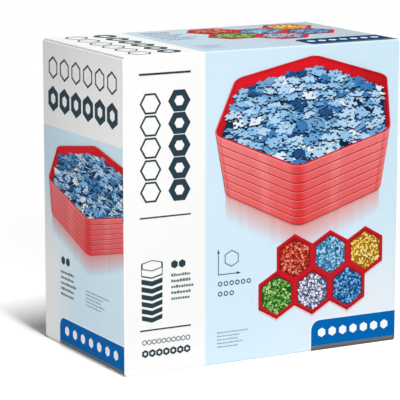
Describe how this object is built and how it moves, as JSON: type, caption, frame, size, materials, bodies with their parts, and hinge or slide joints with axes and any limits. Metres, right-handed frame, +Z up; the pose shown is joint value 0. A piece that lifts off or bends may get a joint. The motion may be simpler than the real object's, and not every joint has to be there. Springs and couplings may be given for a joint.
{
  "type": "closed retail carton for stacking sorting trays",
  "caption": "Shut square folding carton of printed board with glued flap ends and a glued rear seam, sold full of sorting trays.",
  "frame": {"origin": "middle of the base, level with the outside of the bottom outer flap", "axes": "+Z up, front panel towards -Y, side panels on -X and +X"},
  "size_m": [0.216, 0.126, 0.216],
  "materials": {
    "printed_board": "coated board, printed in pale blue, white and red, semi-matt varnish"
  },
  "bodies": {
    "root": {"carton": "printed_board"}
  },
  "joints": []
}
